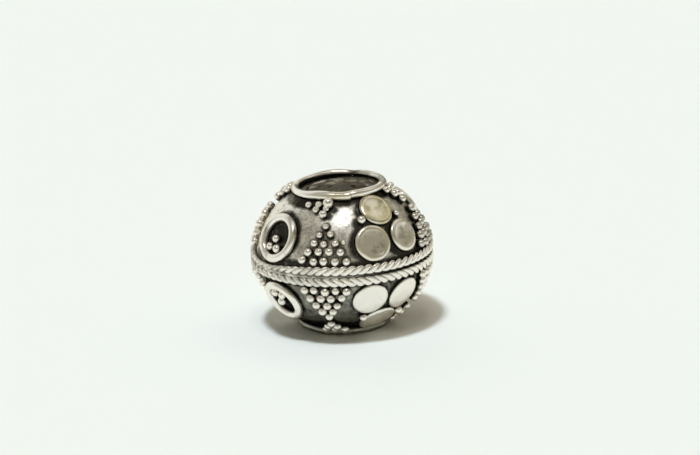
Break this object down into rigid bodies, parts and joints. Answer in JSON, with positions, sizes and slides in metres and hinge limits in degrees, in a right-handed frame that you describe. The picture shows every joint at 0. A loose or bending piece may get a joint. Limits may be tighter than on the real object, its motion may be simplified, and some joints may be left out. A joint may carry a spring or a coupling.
{
  "type": "granulated metal bead",
  "caption": "Hollow flattened-round bead with a large hole, wire collars, a twisted wire band, wire rings, grouped discs and triangles of granules.",
  "frame": {"origin": "centre of the bead, on the hole's axis and in the plane of the seam between the domes", "axes": "+Z along the hole, +X 4 degrees short of the right-hand ring, -Y through the middle of the front group of discs"},
  "size_m": [0.012, 0.012, 0.0096],
  "materials": {
    "dome_silver": "silver sheet, blackened in the recesses and polished where it stands clear",
    "wire_silver": "drawn silver wire, soldered, with worn bright tops",
    "disc_silver": "hammered silver sheet, polished",
    "granule_silver": "melted silver balls, black round their feet"
  },
  "bodies": {
    "root": {"lower_back_disc_granules": "granule_silver", "lower_back_left_disc": "disc_silver", "lower_back_left_granules": "granule_silver", "lower_back_right_disc": "disc_silver", "lower_back_right_granules": "granule_silver", "lower_back_top_disc": "disc_silver", "lower_collar": "wire_silver", "lower_dome": "dome_silver", "lower_front_disc_granules": "granule_silver", "lower_front_left_disc": "disc_silver", "lower_front_left_granules": "granule_silver", "lower_front_right_disc": "disc_silver", "lower_front_right_granules": "granule_silver", "lower_front_top_disc": "disc_silver", "lower_left_ring": "wire_silver", "lower_left_ring_granules": "granule_silver", "lower_right_ring": "wire_silver", "lower_right_ring_granules": "granule_silver", "lower_rope_wire_1": "wire_silver", "lower_rope_wire_2": "wire_silver", "upper_back_disc_granules": "granule_silver", "upper_back_left_disc": "disc_silver", "upper_back_left_granules": "granule_silver", "upper_back_right_disc": "disc_silver", "upper_back_right_granules": "granule_silver", "upper_back_top_disc": "disc_silver", "upper_collar": "wire_silver", "upper_dome": "dome_silver", "upper_front_disc_granules": "granule_silver", "upper_front_left_disc": "disc_silver", "upper_front_left_granules": "granule_silver", "upper_front_right_disc": "disc_silver", "upper_front_right_granules": "granule_silver", "upper_front_top_disc": "disc_silver", "upper_left_ring": "wire_silver", "upper_left_ring_granules": "granule_silver", "upper_right_ring": "wire_silver", "upper_right_ring_granules": "granule_silver", "upper_rope_wire_1": "wire_silver", "upper_rope_wire_2": "wire_silver"}
  },
  "joints": []
}
